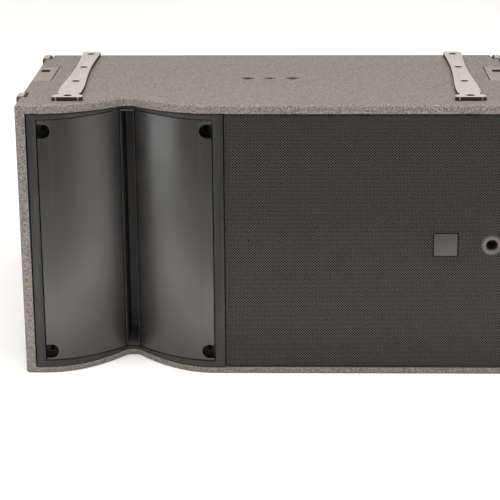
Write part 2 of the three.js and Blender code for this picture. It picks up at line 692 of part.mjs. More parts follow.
function insertPlate() {
  const base = slab(rectangle(-55, 55, INSERT_Y - 16, INSERT_Y + 16), (y) => ceiling(y) - 4, ceiling);
  const bosses = INSERTS.map(({ x, r }) => {
    const disc = new THREE.Shape();
    disc.absarc(x, INSERT_Y, r, 0, 2 * Math.PI);
    return slab(disc, (y) => ceiling(y) - 2, outer, 10);
  });
  const holes = INSERTS.map(({ x, r }) => upright(r / 2, x, INSERT_Y, 0, 300, 16));
  return cut(join(base, ...bosses), ...holes);
}

add('top_insert_plate', insertPlate(), 'steel');

// ---- Rear and inside ----

const plateHalf = PLATE.height / 2;
const plateBlank = box(
  PLATE.x - PLATE.width / 2,
  PLATE.x + PLATE.width / 2,
  PLATE.y,
  PLATE.y + PLATE.thick,
  PLATE.z - plateHalf,
  PLATE.z + plateHalf,
);
const connectorSpots = [['in', -CONNECTOR_OFFSET], ['out', CONNECTOR_OFFSET]];
const connectorHoles = connectorSpots.map(([, x]) => rod(12.6, PLATE.x + x, PLATE.z, 400, 430, 16));
add('connector_plate', cut(plateBlank, ...connectorHoles), 'darkSteel');

for (const [name, offset] of connectorSpots) {
  const x = PLATE.x + offset;
  const flangeFront = PLATE.y + PLATE.thick + GAP;
  const shell = join(
    rod(12, x, PLATE.z, 398, flangeFront + 1, 16),
    box(x - 15, x + 15, flangeFront, flangeFront + 2, PLATE.z - 18, PLATE.z + 18),
  );
  const socket = rod(9, x, PLATE.z, 404, flangeFront + 3, 16);
  add(`connector_${name}`, cut(shell, socket), 'moulding');
}

function crossover() {
  const board = box(-240, -110, 400, 402, -60, 60);
  const feet = [[-232, -52], [-118, -52], [-232, 52], [-118, 52]].map(([x, z]) =>
    rod(4, x, z, 401, DEPTH - WALL - GAP, 8));
  const coils = [[-205, 20], [-150, 30]].map(([x, z]) => rod(20, x, z, 378, 401, 16));
  const capacitors = [-40, -12].map((z) => box(-185, -145, 384, 401, z - 10, z + 8));
  return join(board, ...feet, ...coils, ...capacitors);
}

add('crossover_board', crossover(), 'board');
add('damping_foam', box(80, 330, 384, DEPTH - WALL - GAP, -150, 150), 'foam');

// ---- Stand the cabinet on its bottom panel ----

const part = new THREE.Group();
speaker.rotation.x = -TAPER;
part.add(speaker);
part.updateMatrixWorld(true);
const extent = new THREE.Box3().setFromObject(part, true);
const middle = extent.getCenter(new THREE.Vector3());
speaker.position.set(-middle.x, -middle.y, -extent.min.z);

export default part;
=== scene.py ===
# A two-way line array loudspeaker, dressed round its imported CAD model.
#
# Pieces are drawn in metres in the frame of the front face: X to the right, Y back into the cabinet
# from the front plane, Z up from the middle of the front. TO_ROW takes them to the row frame, in
# which the bottom panel lies flat and the front leans back.

import json
import math

import bmesh
import bpy
import numpy as np
from mathutils import Matrix, Vector


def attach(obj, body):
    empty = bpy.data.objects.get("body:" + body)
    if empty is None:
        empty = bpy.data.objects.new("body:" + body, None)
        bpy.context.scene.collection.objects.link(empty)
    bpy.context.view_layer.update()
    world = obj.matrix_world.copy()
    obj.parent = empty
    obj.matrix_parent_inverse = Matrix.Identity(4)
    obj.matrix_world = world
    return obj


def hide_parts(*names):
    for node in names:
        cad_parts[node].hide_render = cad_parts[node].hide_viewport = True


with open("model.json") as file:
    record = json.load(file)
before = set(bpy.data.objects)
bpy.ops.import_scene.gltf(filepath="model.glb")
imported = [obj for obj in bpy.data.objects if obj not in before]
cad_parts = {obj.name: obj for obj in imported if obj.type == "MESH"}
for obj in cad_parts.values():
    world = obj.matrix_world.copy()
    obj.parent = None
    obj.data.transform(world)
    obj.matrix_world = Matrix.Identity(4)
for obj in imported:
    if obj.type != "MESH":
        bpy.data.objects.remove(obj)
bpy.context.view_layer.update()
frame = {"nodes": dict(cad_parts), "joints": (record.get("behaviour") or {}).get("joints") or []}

MM = 0.001
SIDES = (("left", -1), ("right", 1))
ON_AXIS = 1e-9
MERGE_DISTANCE = 1e-7


# ---- The frame of the front face ----


def joint(name):
    return next(j for j in frame["joints"] if j["name"] == name)


def node_points(matrix, *names):
    return [matrix @ v.co for name in names for v in frame["nodes"][name].data.vertices]


def find_face_frame():
    """The matrix from the front face's frame to the row frame, from the fins' axis and the panels."""
    axis = joint("left_fin_swing")["axis"]
    tilt = math.atan2(axis[1], axis[2])
    upright = Matrix.Rotation(tilt, 4, "X")
    top = node_points(upright, "top_panel")
    bottom = node_points(upright, "bottom_panel")
    front = min(p.y for p in top)
    middle = (max(p.z for p in top) + min(p.z for p in bottom)) / 2
    return upright.inverted() @ Matrix.Translation((0, front, middle)), tilt


TO_ROW, TAPER = find_face_frame()
TO_FACE = TO_ROW.inverted()
SLOPE = math.tan(TAPER)


def face_box(*names):
    """Lowest and highest corner of some CAD nodes, in the frame of the front face."""
    points = node_points(TO_FACE, *names)
    low = Vector([min(p[i] for p in points) for i in range(3)])
    high = Vector([max(p[i] for p in points) for i in range(3)])
    return low, high


def middle_of(*names):
    low, high = face_box(*names)
    return (low + high) / 2


HALF_FRONT = face_box("top_panel")[1].z
HALF_WIDTH = face_box("top_panel")[1].x
DEPTH = face_box("top_panel")[1].y
SIDE_WALL = face_box("left_side_panel")[1].x + HALF_WIDTH
REAR_WALL = DEPTH - face_box("rear_panel")[0].y
FLOOR_LEVEL, CEILING_LEVEL = (corner.z for corner in face_box("left_side_panel"))
FIT_GAP = 0.3 * MM
EDGE_RADIUS = 6.5 * MM

# Where cutters begin and end, well clear of what they cut.
CUT_DEPTH = 0.02
CUT_LOW, CUT_HIGH = 0.1, 0.3
CUT_OUT = 0.4


def outer(y):
    """Half the cabinet's outside height at depth y."""
    return HALF_FRONT - y * SLOPE


def ceiling(y):
    """Height of the top panel's underside at depth y, less the gap that every part keeps."""
    return CEILING_LEVEL - y * SLOPE


def floor(y):
    """Height of the bottom panel's upper side at depth y, plus the same gap."""
    return FLOOR_LEVEL + y * SLOPE


# ---- Meshes ----


def new_mesh(name, points, faces):
    mesh = bpy.data.meshes.new(name)
    mesh.from_pydata([tuple(p) for p in points], [], faces)
    mesh.validate()
    return mesh


def outward(mesh):
    work = bmesh.new()
    work.from_mesh(mesh)
    bmesh.ops.remove_doubles(work, verts=work.verts, dist=MERGE_DISTANCE)
    bmesh.ops.recalc_face_normals(work, faces=work.faces)
    work.to_mesh(mesh)
    work.free()
    return mesh


def level_at(level, y):
    """A level that is a number, or a function of depth."""
    return level(y) if callable(level) else level


def prism(outline, low, high):
    """A plan outline drawn up between two levels."""
    count = len(outline)
    points = [(x, y, level_at(low, y)) for x, y in outline]
    points += [(x, y, level_at(high, y)) for x, y in outline]
    faces = [tuple(reversed(range(count))), tuple(range(count, 2 * count))]
    faces += [(i, (i + 1) % count, (i + 1) % count + count, i + count) for i in range(count)]
    return outward(new_mesh("prism", points, faces))


def rectangle(x0, x1, y0, y1):
    return [(x0, y0), (x1, y0), (x1, y1), (x0, y1)]


def box(x0, x1, y0, y1, z0, z1):
    return prism(rectangle(x0, x1, y0, y1), z0, z1)


def box_of(low, high):
    return box(low.x, high.x, low.y, high.y, low.z, high.z)


def turned(profile, centre, axis="Y", segments=64):
    """A closed (radius, distance) profile turned about an axis through centre."""
    rings = []
    points = []
    for radius, along in profile:
        if radius < ON_AXIS:
            rings.append([len(points)] * segments)
            points.append((0.0, along, 0.0))
            continue
        rings.append(list(range(len(points), len(points) + segments)))
        for i in range(segments):
            angle = 2 * math.pi * i / segments
            points.append((radius * math.cos(angle), along, radius * math.sin(angle)))
    faces = []
    last = len(profile) - 1
    for k in range(len(profile)):
        if k == last and profile[k][0] < ON_AXIS and profile[0][0] < ON_AXIS:
            continue
        a, b = rings[k], rings[(k + 1) % len(profile)]
        for i in range(segments):
            j = (i + 1) % segments
            face = list(dict.fromkeys((a[i], a[j], b[j], b[i])))
            if len(face) > 2:
                faces.append(tuple(face))
    mesh = new_mesh("turned", points, faces)
    turns = {
        "X": Matrix.Rotation(-math.pi / 2, 4, "Z"),
        "Y": Matrix(),
        "Z": Matrix.Rotation(math.pi / 2, 4, "X"),
    }
    mesh.transform(Matrix.Translation(centre) @ turns[axis])
    return outward(mesh)


def bar(radius, start, end, axis, centre, segments=48):
    """A round bar along an axis, from start to end; centre gives its other two coordinates."""
    profile = [(0, start), (radius, start), (radius, end), (0, end)]
    return turned(profile, centre, axis, segments)


def modified(mesh, kind, **settings):
    """The mesh after one modifier."""
    obj = bpy.data.objects.new("work", mesh)
    bpy.context.scene.collection.objects.link(obj)
    modifier = obj.modifiers.new(kind, kind)
    for key, value in settings.items():
        setattr(modifier, key, value)
    graph = bpy.context.evaluated_depsgraph_get()
    result = bpy.data.meshes.new_from_object(obj.evaluated_get(graph))
    bpy.data.objects.remove(obj)
    return result


def combined(mesh, operation, others):
    for other in others:
        tool = bpy.data.objects.new("tool", other)
        bpy.context.scene.collection.objects.link(tool)
        mesh = modified(mesh, "BOOLEAN", operation=operation, solver="MANIFOLD", object=tool)
        bpy.data.objects.remove(tool)
    return mesh


def carve(mesh, *cutters):
    return combined(mesh, "DIFFERENCE", cutters)


def unite(mesh, *others):
    return combined(mesh, "UNION", others)


def soften(mesh, width, segments=3, angle=35):
    """Rounds every edge sharper than the angle."""
    rounded = modified(
        mesh,
        "BEVEL",
        width=width,
        segments=segments,
        limit_method="ANGLE",
        angle_limit=math.radians(angle),
        harden_normals=False,
        use_clamp_overlap=True,
    )
    return modified(rounded, "WELD", merge_threshold=0.005 * MM)


def joined(*meshes):
    work = bmesh.new()
    for mesh in meshes:
        work.from_mesh(mesh)
    result = bpy.data.meshes.new("joined")
    work.to_mesh(result)
    work.free()
    return result


def mirrored(mesh):
    copy = mesh.copy()
    copy.transform(Matrix.Scale(-1, 4, (1, 0, 0)))
    copy.flip_normals()
    return copy


def add_piece(name, mesh, materials, body, nodes=(), crease=40, choose=None):
    """Places a mesh drawn in the front face's frame as a named piece on a body.

    Edges sharper than crease, in degrees, stay sharp. choose gives a polygon's material index.
    """
    mesh.name = name
    mesh.materials.clear()
    for material in materials:
        mesh.materials.append(material)
    for polygon in mesh.polygons:
        polygon.use_smooth = True
        polygon.material_index = choose(polygon) if choose else 0
    mesh.set_sharp_from_angle(angle=math.radians(crease))
    mesh.transform(TO_ROW)
    obj = bpy.data.objects.new(name, mesh)
    bpy.context.scene.collection.objects.link(obj)
    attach(obj, body)
    if nodes:
        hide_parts(*nodes)
    return obj


# ---- Materials ----


class Look:
    """A node material on one Principled shader, with helpers for grain, tint, roughness and bump."""

    def __init__(self, name, color, roughness, metallic=0.0, specular=0.5, sheen=0.0, coat=0.0):
        self.material = bpy.data.materials.new(name)
        self.material.use_nodes = True
        self.nodes = self.material.node_tree.nodes
        self.links = self.material.node_tree.links
        self.shader = self.nodes["Principled BSDF"]
        self.set("Base Color", (*color, 1))
        self.set("Roughness", roughness)
        self.set("Metallic", metallic)
        self.set("Specular IOR Level", specular)
        self.set("Sheen Weight", sheen)
        self.set("Coat Weight", coat)
        self.color = color
        self.roughness = roughness
        self.bumps = None

    def set(self, socket, value):
        self.shader.inputs[socket].default_value = value

    def place(self, stretch=(1, 1, 1)):
        coordinates = self.nodes.new("ShaderNodeTexCoord")
        mapping = self.nodes.new("ShaderNodeMapping")
        mapping.inputs["Scale"].default_value = stretch
        mapping.inputs["Rotation"].default_value = (TAPER, 0, 0)
        self.links.new(coordinates.outputs["Object"], mapping.inputs["Vector"])
        return mapping.outputs["Vector"]

    def noise(self, scale, detail=2.0, stretch=(1, 1, 1)):
        texture = self.nodes.new("ShaderNodeTexNoise")
        texture.inputs["Scale"].default_value = scale
        texture.inputs["Detail"].default_value = detail
        self.links.new(self.place(stretch), texture.inputs["Vector"])
        return texture.outputs["Fac"]

    def cells(self, scale, stretch=(1, 1, 1)):
        texture = self.nodes.new("ShaderNodeTexVoronoi")
        texture.feature = "SMOOTH_F1"
        texture.inputs["Scale"].default_value = scale
        self.links.new(self.place(stretch), texture.inputs["Vector"])
        return texture.outputs["Distance"]

    def spread(self, value, low, high, start=0.3, end=0.7):
        """Maps a texture value between start and end to a range."""
        ranged = self.nodes.new("ShaderNodeMapRange")
        ranged.inputs["From Min"].default_value = start
        ranged.inputs["From Max"].default_value = end
        ranged.inputs["To Min"].default_value = low
        ranged.inputs["To Max"].default_value = high
        self.links.new(value, ranged.inputs["Value"])
        return ranged.outputs["Result"]

    def tint(self, value, dark, light, start=0.3, end=0.7):
        """Varies the colour between two multiples of itself."""
        mix = self.nodes.new("ShaderNodeMix")
        mix.data_type = "RGBA"
        low = [min(1, c * dark) for c in self.color]
        high = [min(1, c * light) for c in self.color]
        mix.inputs[6].default_value = (*low, 1)
        mix.inputs[7].default_value = (*high, 1)
        self.links.new(self.spread(value, 0, 1, start, end), mix.inputs[0])
        self.links.new(mix.outputs[2], self.shader.inputs["Base Color"])

    def vary_roughness(self, value, amount):
        low, high = self.roughness - amount, self.roughness + amount
        self.links.new(self.spread(value, low, high), self.shader.inputs["Roughness"])

    def bump(self, value, distance, strength=1.0):
        node = self.nodes.new("ShaderNodeBump")
        node.inputs["Distance"].default_value = distance
        node.inputs["Strength"].default_value = strength
        self.links.new(value, node.inputs["Height"])
        if self.bumps:
            self.links.new(self.bumps, node.inputs["Normal"])
        self.bumps = node.outputs["Normal"]
        self.links.new(self.bumps, self.shader.inputs["Normal"])


def cabinet_paint():
    look = Look("cabinet_paint", (0.146, 0.132, 0.119), 0.62, specular=0.35)
    pebbles = look.noise(600, 2.0)
    look.tint(pebbles, 0.42, 1.65, 0.38, 0.62)
    look.vary_roughness(look.noise(60), 0.06)
    look.bump(pebbles, 0.45 * MM, 0.7)
    return look.material


def moulded(name, color, roughness, grain=0.02 * MM, specular=0.5):
    look = Look(name, color, roughness, specular=specular)
    look.vary_roughness(look.noise(25), 0.04)
    look.tint(look.noise(9, 3.0), 0.94, 1.06)
    look.bump(look.noise(1800, 1.0), grain, 0.6)
    return look.material


def powder_coat(name, color, roughness):
    look = Look(name, color, roughness, specular=0.4)
    look.tint(look.noise(300), 0.9, 1.1)
    look.vary_roughness(look.noise(40), 0.05)
    look.bump(look.noise(1400, 1.0), 0.04 * MM, 0.5)
    return look.material


def brushed(name, color, roughness, metallic=0.9, stretch=(1, 1, 30)):
    look = Look(name, color, roughness, metallic)
    streaks = look.noise(90, 3.0, stretch)
    look.tint(streaks, 0.9, 1.08)
    look.vary_roughness(streaks, 0.07)
    look.bump(streaks, 0.02 * MM, 0.4)
    return look.material


def woven(name, color):
    look = Look(name, color, 0.92, specular=0.0)
    warp = look.noise(1500, 0.0, (1, 1, 0.12))
    weft = look.noise(1500, 0.0, (0.12, 1, 1))
    look.tint(warp, 0.6, 1.4)
    look.bump(warp, 0.12 * MM, 0.8)
    look.bump(weft, 0.12 * MM, 0.8)
    return look.material


def porous(name, color):
    look = Look(name, color, 0.95, specular=0.15)
    pores = look.cells(420)
    look.tint(pores, 0.5, 1.25, 0.1, 0.7)
    look.bump(pores, 0.8 * MM, 0.8)
    return look.material


def pulp(name, color):
    look = Look(name, color, 0.8, specular=0.3)
    fibres = look.noise(260, 5.0)
    look.tint(fibres, 0.8, 1.25)
    look.bump(fibres, 0.15 * MM, 0.6)
    return look.material


LOOKS = {
    "paint": cabinet_paint(),
    "moulding": moulded("horn_moulding", (0.0095, 0.0088, 0.0082), 0.32, specular=0.66),
    "bezel": moulded("bezel_moulding", (0.0098, 0.0093, 0.0088), 0.5, 0.05 * MM, specular=0.4),
    "dark_moulding": moulded("inner_moulding", (0.014, 0.014, 0.014), 0.6),
    "collar": moulded("collar_moulding", (0.09, 0.083, 0.076), 0.55, 0.06 * MM),
    "badge": moulded("badge_moulding", (0.034, 0.032, 0.028), 0.42),
    "grille": powder_coat("grille_coat", (0.054, 0.05, 0.0475), 0.5),
    # Near-black with almost no gloss: painted shade, for the screws deep in their recesses and the border
    # round the badge.
    "painted_shade_black": moulded("painted_shade_black", (0.003, 0.003, 0.003), 0.7, specular=0.1),
    "slot": powder_coat("slot_coat", (0.066, 0.063, 0.063), 0.6),
    "slot_wall": moulded("slot_wall", (0.05, 0.048, 0.048), 0.8, specular=0.05),
    "black_coat": powder_coat("black_coat", (0.02, 0.019, 0.018), 0.5),
    # The strap's pale top is a painted reflection of the overhead light; its dark sides are the metal's own
    # tone.
    "strap_top": brushed("strap_top", (0.38, 0.352, 0.32), 0.42, 0.1, (30, 1, 1)),
    "strap_edge": powder_coat("strap_edge", (0.012, 0.011, 0.010), 0.6),
    # Pale rail tops: painted light, as lit from above; the rails' sides take the black coat as painted
    # shade.
    "rail_lit_top": brushed("rail_lit_top", (0.3, 0.28, 0.25), 0.45, 0.1, (1, 1, 20)),
    "housing": powder_coat("housing_coat", (0.2, 0.182, 0.162), 0.42),
    "steel": brushed("zinc_steel", (0.42, 0.41, 0.395), 0.38),
    "dark_steel": brushed("dark_steel", (0.1, 0.095, 0.09), 0.45, 0.6),
    "cast": powder_coat("cast_metal", (0.03, 0.03, 0.03), 0.55),
    "ferrite": powder_coat("ferrite", (0.045, 0.045, 0.05), 0.6),
    "coil": brushed("coil_metal", (0.5, 0.42, 0.33), 0.4),
    "rubber": moulded("grip_rubber", (0.018, 0.018, 0.018), 0.75, 0.08 * MM),
    "pulp": pulp("cone_pulp", (0.025, 0.025, 0.025)),
    "cloth": woven("acoustic_cloth", (0.004, 0.0038, 0.0036)),
    "foam": porous("open_cell_foam", (0.05, 0.05, 0.055)),
    "board": powder_coat("circuit_board", (0.02, 0.1, 0.045), 0.4),
}

CAD_LOOKS = {
    "slot_wall": ["waveguide"],
    "dark_moulding": ["port_tube_upper", "port_tube_lower", "hf_driver_cover"],
    "paint": ["woofer_baffle", "horn_baffle_strip", "chamber_divider"],
    "steel": ["left_fin_hinge_rod", "right_fin_hinge_rod", "woofer_top_plate", "woofer_pole_piece"],
    "cast": ["woofer_basket"],
    "ferrite": ["woofer_magnet", "hf_driver_body"],
    "coil": ["woofer_voice_coil", "hf_diaphragm"],
    "rubber": ["woofer_surround"],
    "pulp": ["woofer_cone", "woofer_dust_cap"],
    "cloth": ["woofer_spider"],
    "board": ["crossover_board"],
}


def dress_cad_nodes():
    for look, names in CAD_LOOKS.items():
        for name in names:
            mesh = frame["nodes"][name].data
            if not mesh.materials:
                mesh.materials.append(LOOKS[look])
            for i in range(len(mesh.materials)):
                mesh.materials[i] = LOOKS[look]


# ---- Camera, lights and floor ----

CAMERA_PLACE = (0.0426, -2.9734, 1.5112)
CAMERA_TURN = (64.646, 0.4945, 1.235)
CAMERA_LENS = 145.98


def make_camera():
    data = bpy.data.cameras.new("camera")
    data.lens = CAMERA_LENS
    data.sensor_width = 36
    camera = bpy.data.objects.new("camera", data)
    camera.location = CAMERA_PLACE
    camera.rotation_euler = [math.radians(a) for a in CAMERA_TURN]
    bpy.context.scene.collection.objects.link(camera)
    bpy.context.scene.camera = camera


def area_light(name, place, target, size, power, color, spread=180):
    data = bpy.data.lights.new(name, "AREA")
    data.shape = "RECTANGLE"
    data.size, data.size_y = size
    data.energy = power
    data.spread = math.radians(spread)
    data.color = color
    light = bpy.data.objects.new(name, data)
    light.location = place
    light.rotation_euler = (Vector(target) - Vector(place)).to_track_quat("-Z", "Y").to_euler()
    bpy.context.scene.collection.objects.link(light)


def make_lights():
    middle = (0, 0, 0.2)
    area_light("overhead", (0, -0.45, 2.8), middle, (5.0, 2.4), 166, (1, 0.98, 0.95))
    area_light("left_softbox", (-1.6, -0.85, 0.42), middle, (0.8, 0.8), 6, (0.98, 0.99, 1))
    area_light("right_softbox", (1.25, -1.25, 0.42), middle, (0.8, 0.8), 3, (1, 0.99, 0.97))
    area_light("table_strip", (0, -0.48, 1), (0, -0.48, 0), (1.4, 0.12), 2.6, (1, 0.99, 0.97), 24)
    world = bpy.data.worlds.new("studio")
    world.use_nodes = True
    background = world.node_tree.nodes["Background"]
    background.inputs["Color"].default_value = (1, 0.985, 0.96, 1)
    background.inputs["Strength"].default_value = 0.45
    bpy.context.scene.world = world
    bpy.context.scene.view_settings.view_transform = "Standard"


def make_floor():
    half = 12
    corners = [(-half, -half, 0), (half, -half, 0), (half, half, 0), (-half, half, 0)]
    mesh = new_mesh("floor", corners, [(0, 1, 2, 3)])
    look = Look("floor", (0.84, 0.835, 0.82), 0.6, specular=0.2)
    look.tint(look.noise(3), 0.99, 1.01)
    mesh.materials.append(look.material)
    ground = bpy.data.objects.new("floor", mesh)
    bpy.context.scene.collection.objects.link(ground)


# ---- Horn ----

HORN = middle_of("slot_mesh").x
CURVE_HALF = 130.5 * MM
CURVE_RATE = 0.004 / MM
CURVE_FLAT = 8 * MM
FIN_GAP = 1.4 * MM
FIN_RECESS = 0.6 * MM
FIN_THICKNESS = 3 * MM


def curve(offset):
    """Depth of the horn's front curve at a distance either side of the slot."""
    return CURVE_RATE * (CURVE_HALF - abs(offset)) ** 2


def curve_points(start, end, back=0.0, steps=40):
    offsets = [start + (end - start) * i / steps for i in range(steps + 1)]
    return [(HORN + offset, curve(offset) + back) for offset in offsets]


def notched_front(back=0.0):
    """The curved front edge that the panels share with the horn, from left to right."""
    left = curve_points(-CURVE_HALF, -CURVE_FLAT, back)
    return left + curve_points(CURVE_FLAT, CURVE_HALF, back)


def horn_pocket(slot_half):
    """The recess that the fins lie in, open at the back along the slot."""
    edge = CURVE_HALF + 0.5 * MM
    deep = 18 * MM
    slot_end = 0.1
    low, high = face_box("left_fin")
    front = [(HORN - edge, -CUT_DEPTH), (HORN + edge, -CUT_DEPTH), (HORN + edge, deep)]
    right = curve_points(CURVE_HALF, slot_half, deep)
    left = curve_points(-slot_half, -CURVE_HALF, deep)
    slot = [(HORN + slot_half, slot_end), (HORN - slot_half, slot_end)]
    outline = [*front, *right, *slot, *left, (HORN - edge, deep)]
    return prism(outline, low.z - FIN_GAP, high.z + FIN_GAP)


def make_bezel():
    low, high = face_box("horn_frame")
    inset = 0.9 * MM
    left, right = low.x + inset, high.x
    wing_back = 27.7 * MM
    frame_depth = 22 * MM
    slot_half = 13.2 * MM
    wing_end = CURVE_HALF - math.sqrt((wing_back - frame_depth) / CURVE_RATE)
    front = [(left, 0), *notched_front(), (right, 0), (right, wing_back)]
    back = curve_points(wing_end, slot_half, frame_depth) + curve_points(-slot_half, -wing_end, frame_depth)
    outline = [*front, *back, (left, wing_back)]
    blank = prism(outline, lambda y: low.z + inset + y * SLOPE, lambda y: high.z - inset - y * SLOPE)
    mesh = soften(carve(blank, horn_pocket(slot_half)), 0.9 * MM, 2, 50)
    add_piece("horn_bezel", mesh, [LOOKS["bezel"]], "cabinet", ["horn_frame"])


def fin_notches(side, sign):
    """What the two horn screws at a fin's outer corners take out of it."""
    radius = 11 * MM
    edge = HORN + sign * (CURVE_HALF + 5 * MM)
    cutters = []
    for level in ("lower", "upper"):
        screw = middle_of(f"horn_screw_{side}_{level}")
        x0, x1 = sorted((screw.x, edge))
        cutters.append(bar(radius, -CUT_DEPTH, CUT_DEPTH, "Y", (screw.x, 0, screw.z)))
        cutters.append(box(x0, x1, -CUT_DEPTH, CUT_DEPTH, screw.z - radius, screw.z + radius))
    return cutters


def make_fin(side, sign):
    """A curved fin with the sleeve that turns on its hinge rod."""
    tip = CURVE_HALF - 1.3 * MM
    root = 12 * MM
    steps = 60
    front = curve_points(sign * tip, sign * root, FIN_RECESS, steps)
    back = curve_points(sign * root, sign * tip, FIN_RECESS + FIN_THICKNESS, steps)
    low, high = face_box(f"{side}_fin")
    plate = prism(front + back, low.z, high.z)
    mesh = soften(carve(plate, *fin_notches(side, sign)), 1.2 * MM, 4, 50)
    rod = middle_of(f"{side}_fin_hinge_rod")
    inner, outer_radius = 2.6 * MM, 4.2 * MM
    sleeve = [(inner, low.z), (outer_radius, low.z), (outer_radius, high.z), (inner, high.z)]
    mesh = joined(mesh, turned(sleeve, (rod.x, rod.y, 0), "Z", 32))
    name = f"{side}_fin_moulding"
    add_piece(name, mesh, [LOOKS["moulding"]], f"{side}_fin", [f"{side}_fin"])


def make_slot_mesh():
    low, high = face_box("slot_mesh")
    rib = 2.2 * MM
    pitch = 4.4 * MM
    rail = 1.2 * MM
    proud = 0.5 * MM
    back = box(low.x, high.x, low.y + proud, high.y, low.z, high.z)
    bars = [
        box(low.x, low.x + rail, low.y, low.y + proud, low.z, high.z),
        box(high.x - rail, high.x, low.y, low.y + proud, low.z, high.z),
    ]
    count = int((high.z - low.z) / pitch)
    for i in range(count):
        z = low.z + (i + 0.5) * pitch
        bars.append(box(low.x + rail, high.x - rail, low.y, low.y + proud, z, z + rib))
    mesh = joined(back, *bars)
    add_piece("slot_ribs", mesh, [LOOKS["slot"]], "cabinet", ["slot_mesh"])


def make_screw(node, look):
    """A pan-head screw with a hexagonal recess, seen from the front."""
    low, high = face_box(node)
    centre = ((low.x + high.x) / 2, 0, (low.z + high.z) / 2)
    head = (high.x - low.x) / 2
    shank = head * 0.55
    under = low.y + head * 0.75
    round_over = [(head * 0.8, low.y), (head * 0.95, low.y + head * 0.15), (head, low.y + head * 0.35)]
    profile = [(0, low.y), *round_over, (head, under), (shank, under), (shank, high.y), (0, high.y)]
    recess = bar(head * 0.5, low.y - MM, low.y + head * 0.45, "Y", centre, 6)
    mesh = carve(turned(profile, centre, "Y", 40), recess)
    add_piece(f"{node}_head", mesh, [LOOKS[look]], "cabinet", [node])


# ---- Grille ----

PERFORATION_PITCH = 4.2 * MM
HALF_PITCH = PERFORATION_PITCH / 2
HOLE_RADIUS = 1.38 * MM
HOLE_SIDES = 8
GRILLE_STRIPS = 4
GRILLE_RIM = 1.4 * MM
SHEET_THICKNESS = 1.0 * MM
COLLAR_RADIUS = 14 * MM
COLLAR_BORE = 9 * MM
SEAT_INNER = COLLAR_RADIUS + 0.2 * MM
SEAT_OUTER = COLLAR_RADIUS + 2 * MM


def add_faces(mesh, points, triangles, quads):
    mesh.vertices.add(len(points))
    mesh.vertices.foreach_set("co", points.ravel())
    loops = np.concatenate([triangles.ravel(), quads.ravel()])
    mesh.loops.add(len(loops))
    mesh.loops.foreach_set("vertex_index", loops)
    sizes = np.concatenate([np.full(len(triangles), 3), np.full(len(quads), 4)])
    starts = np.concatenate([[0], np.cumsum(sizes)[:-1]])
    mesh.polygons.add(len(sizes))
    mesh.polygons.foreach_set("loop_start", starts.astype(np.int32))
    mesh.update(calc_edges=True)


def hole_cells(columns, rows, corner, keep_out):
    """Grid places of a strip's holes, every other one, outside a circle (x, z, radius)."""
    cells = []
    for i in range(*columns):
        for j in range(1, rows):
            x, z = corner[0] + i * HALF_PITCH, corner[1] + j * HALF_PITCH
            far = math.hypot(x - keep_out[0], z - keep_out[1]) > keep_out[2]
            if (i + j) % 2 == 0 and far:
                cells.append((i, j))
    return cells


def sheet_points(flat, front, back):
    """Flat (x, z) points, once at the front and once at the back."""
    count = len(flat)
    points = np.zeros((2 * count, 3))
    points[:, 0] = np.tile(flat[:, 0], 2)
    points[:, 2] = np.tile(flat[:, 1], 2)
    points[:count, 1] = front
    points[count:, 1] = back
    return points


def cell_faces(index, hole):
    """Front faces between each diamond's corners and its hole."""
    triangles, quads = [], []
    for side in range(4):
        before, after = (2 * side - 1) % HOLE_SIDES, 2 * side
        following = 2 * side + 1
        triangles.append(np.stack([index[:, side], hole[:, after], hole[:, before]], 1))
        ahead = (side + 1) % 4
        quads.append(np.stack([index[:, side], index[:, ahead], hole[:, following], hole[:, after]], 1))
    return np.concatenate(triangles), np.concatenate(quads)


def cell_walls(inside, index, hole, count):
    """Faces through the sheet, round each hole and along the strip's own edge."""
    walls = []
    for k in range(HOLE_SIDES):
        a, b = hole[:, k], hole[:, (k + 1) % HOLE_SIDES]
        walls.append(np.stack([a, b, b + count, a + count], 1))
    present = set(inside)
    for side, (di, dj) in enumerate(((1, 1), (-1, 1), (-1, -1), (1, -1))):
        edge = np.array([(i + di, j + dj) not in present for i, j in inside])
        a, b = index[edge, side], index[edge, (side + 1) % 4]
        walls.append(np.stack([b, a, a + count, b + count], 1))
    return walls


def perforated_strip(columns, rows, corner, front, back, keep_out):
    """A closed strip of sheet with round holes in a diagonal grid.

    Each hole has a diamond cell, whose corners and middle lie on a grid of half a pitch.
    """
    inside = hole_cells(columns, rows, corner, keep_out)
    cells = np.array(inside)
    steps = np.array([(1, 0), (0, 1), (-1, 0), (0, -1)])
    corners = cells[:, None, :] + steps[None]
    keys, index = np.unique(corners.reshape(-1, 2), axis=0, return_inverse=True)
    index = index.reshape(-1, 4)
    angles = np.radians(360 / HOLE_SIDES * (0.5 + np.arange(HOLE_SIDES)))
    ring = HOLE_RADIUS * np.stack([np.cos(angles), np.sin(angles)], 1)
    hole_xz = (cells * HALF_PITCH)[:, None, :] + ring[None]
    flat = np.concatenate([keys * HALF_PITCH, hole_xz.reshape(-1, 2)]) + np.array(corner)
    count = len(flat)
    first_hole = len(keys) + HOLE_SIDES * np.arange(len(cells))
    hole = first_hole[:, None] + np.arange(HOLE_SIDES)[None]
    triangles, quads = cell_faces(index, hole)
    walls = cell_walls(inside, index, hole, count)
    all_triangles = np.concatenate([triangles, triangles[:, ::-1] + count])
    all_quads = np.concatenate([quads, quads[:, ::-1] + count, *walls])
    mesh = bpy.data.meshes.new("strip")
    points = sheet_points(flat, front, back)
    add_faces(mesh, points, all_triangles.astype(np.int32), all_quads.astype(np.int32))
    return mesh


